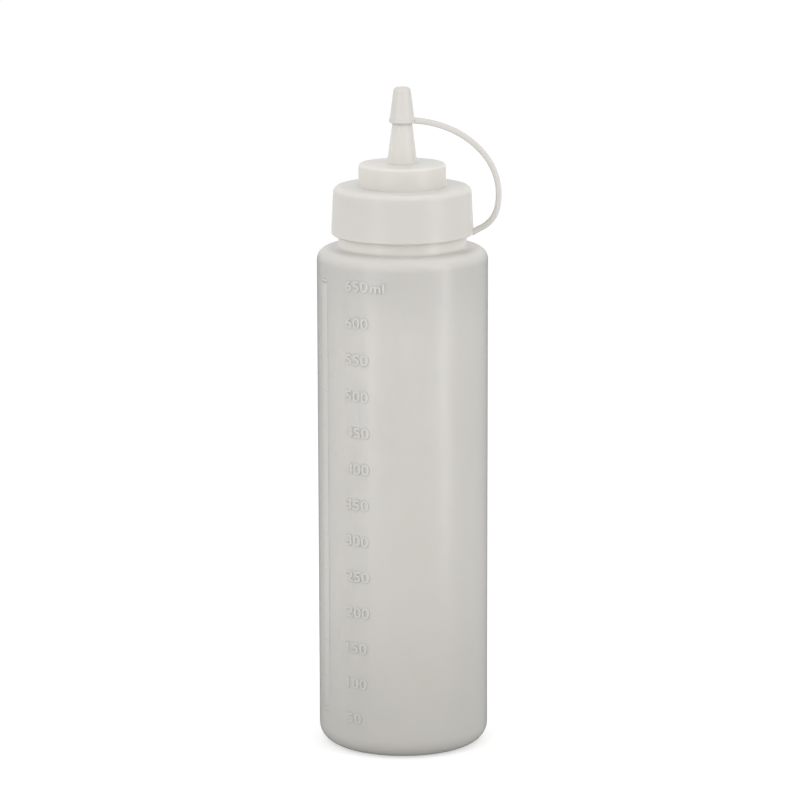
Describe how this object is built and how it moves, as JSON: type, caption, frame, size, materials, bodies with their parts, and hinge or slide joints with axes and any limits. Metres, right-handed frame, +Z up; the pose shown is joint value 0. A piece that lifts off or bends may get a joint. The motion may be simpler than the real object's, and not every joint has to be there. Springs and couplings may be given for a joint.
{
  "type": "condiment squeeze bottle",
  "caption": "Tall round squeeze bottle for sauces, with a screw lid, a tapered nozzle and a tip cap tied to the lid by a bendable strap.",
  "frame": {"origin": "middle of the circle that the bottle stands on, in the plane of its foot ring", "axes": "+Z up along the bottle's axis, +X towards the strap, +Y away from someone who reads the volume scale"},
  "size_m": [0.0733, 0.068, 0.2657],
  "materials": {
    "bottle_plastic": "satin, natural translucent polyethylene",
    "lid_plastic": "satin, natural polyethylene",
    "strap_plastic": "satin, natural polyethylene",
    "seal_plastic": "matt foamed polyethylene"
  },
  "bodies": {
    "bottle": {"bottle": "bottle_plastic"},
    "seal": {"seal_ring": "seal_plastic"},
    "lid": {"lid": "lid_plastic"},
    "strap_1": {"strap_link_1": "strap_plastic"},
    "strap_2": {"strap_link_2": "strap_plastic"},
    "strap_3": {"strap_link_3": "strap_plastic"},
    "strap_4": {"strap_link_4": "strap_plastic"},
    "strap_5": {"strap_link_5": "strap_plastic"},
    "tip_cap": {"tip_cap": "strap_plastic"}
  },
  "joints": [
    {"name": "lid_lift", "type": "slide", "parent": "bottle", "child": "seal", "axis": [0, 0, 1], "range_m": [0, 0.06]},
    {"name": "lid_turn", "type": "hinge", "parent": "seal", "child": "lid", "pos_m": [0, 0, 0.2168], "axis": [0, 0, 1], "range_deg": [0, 540]},
    {"name": "cap_open", "type": "hinge", "parent": "lid", "child": "strap_1", "pos_m": [0.03126, 0, 0.2096], "axis": [0, -1, 0], "range_deg": [0, 25]},
    {"name": "strap_bend_1", "type": "hinge", "parent": "strap_1", "child": "strap_2", "pos_m": [0.03794, 0, 0.21929], "axis": [0, -1, 0], "range_deg": [0, 8]},
    {"name": "strap_bend_2", "type": "hinge", "parent": "strap_2", "child": "strap_3", "pos_m": [0.0367, 0, 0.23141], "axis": [0, 1, 0], "range_deg": [0, 38]},
    {"name": "strap_bend_3", "type": "hinge", "parent": "strap_3", "child": "strap_4", "pos_m": [0.03, 0, 0.24161], "axis": [0, 1, 0], "range_deg": [0, 45]},
    {"name": "strap_bend_4", "type": "hinge", "parent": "strap_4", "child": "strap_5", "pos_m": [0.01994, 0, 0.2486], "axis": [0, 1, 0], "range_deg": [0, 45]},
    {"name": "cap_tilt", "type": "hinge", "parent": "strap_5", "child": "tip_cap", "pos_m": [0.00818, 0, 0.25208], "axis": [0, 1, 0], "range_deg": [0, 45]}
  ],
  "couplings": [
    {"joint": "strap_bend_1", "follows": "cap_open", "ratio": 0.32},
    {"joint": "strap_bend_2", "follows": "cap_open", "ratio": 1.52},
    {"joint": "strap_bend_3", "follows": "cap_open", "ratio": 1.8},
    {"joint": "strap_bend_4", "follows": "cap_open", "ratio": 1.8},
    {"joint": "cap_tilt", "follows": "cap_open", "ratio": 1.8}
  ]
}
